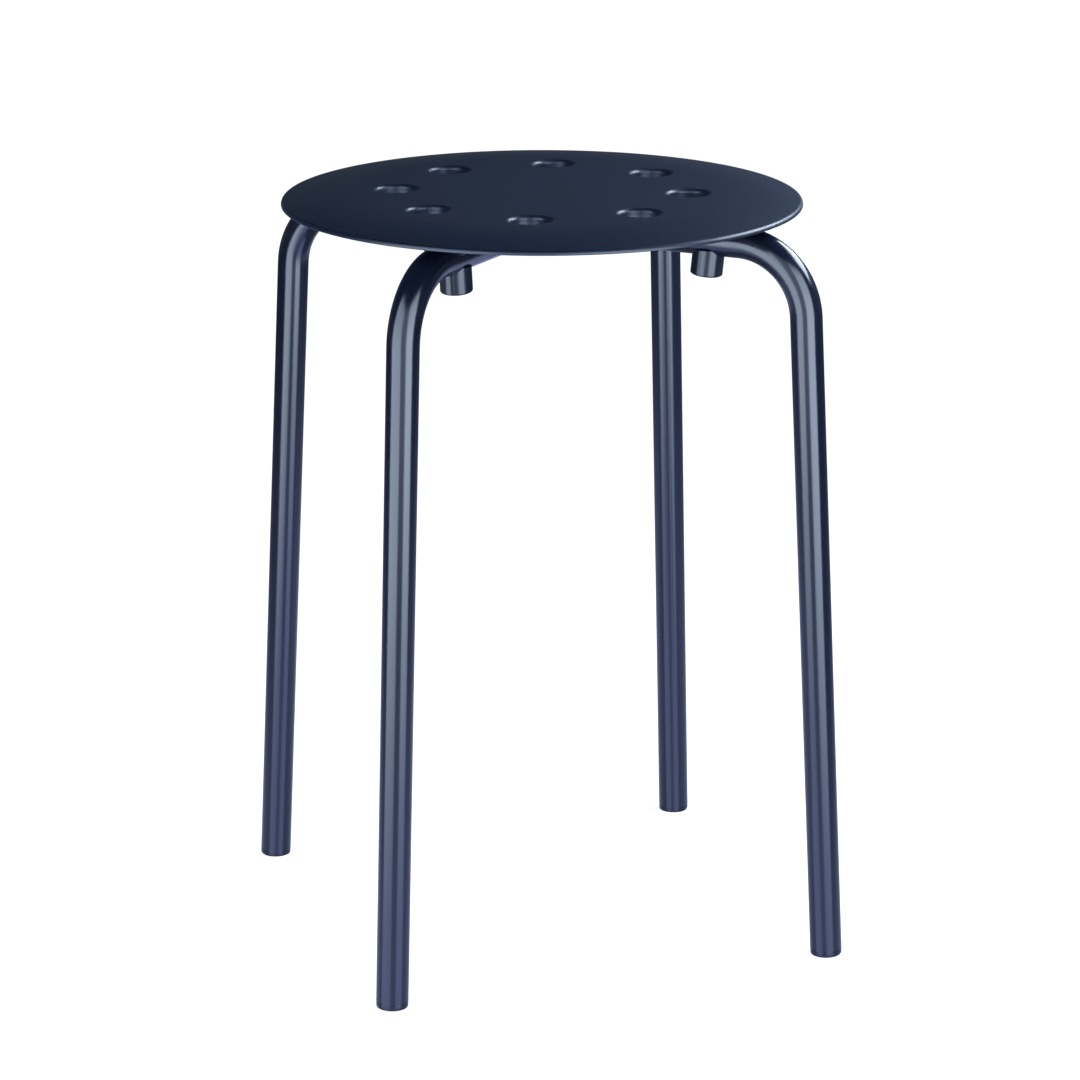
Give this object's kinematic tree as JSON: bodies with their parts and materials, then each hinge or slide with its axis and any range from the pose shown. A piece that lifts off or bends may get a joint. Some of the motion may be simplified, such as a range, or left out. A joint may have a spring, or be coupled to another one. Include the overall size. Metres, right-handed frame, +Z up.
{
  "type": "stacking stool",
  "caption": "Backless stacking stool: a round moulded seat with a ring of finger holes on crossed bent steel tubes that form splayed legs.",
  "frame": {"origin": "on the floor, under the middle of the seat", "axes": "+Z up to the seat; the upper tube and its two legs lie along X, the lower tube and its two legs along Y"},
  "size_m": [0.404, 0.404, 0.45],
  "materials": {
    "seat_plastic": "moulded polypropylene, satin, dark navy",
    "coated_tube": "powder-coated steel tube, satin, dark navy",
    "stud_plastic": "moulded plastic, satin, dark navy",
    "glide_plastic": "moulded plastic, satin, dark navy",
    "screw_steel": "zinc-plated steel, clear passivated"
  },
  "bodies": {
    "root": {"seat": "seat_plastic", "leg_tube_upper": "coated_tube", "leg_tube_lower": "coated_tube", "stacking_stud_1": "stud_plastic", "stacking_stud_2": "stud_plastic", "stacking_stud_3": "stud_plastic", "stacking_stud_4": "stud_plastic", "foot_glide_1": "glide_plastic", "foot_glide_2": "glide_plastic", "foot_glide_3": "glide_plastic", "foot_glide_4": "glide_plastic", "clamp_screws": "screw_steel"}
  },
  "joints": []
}
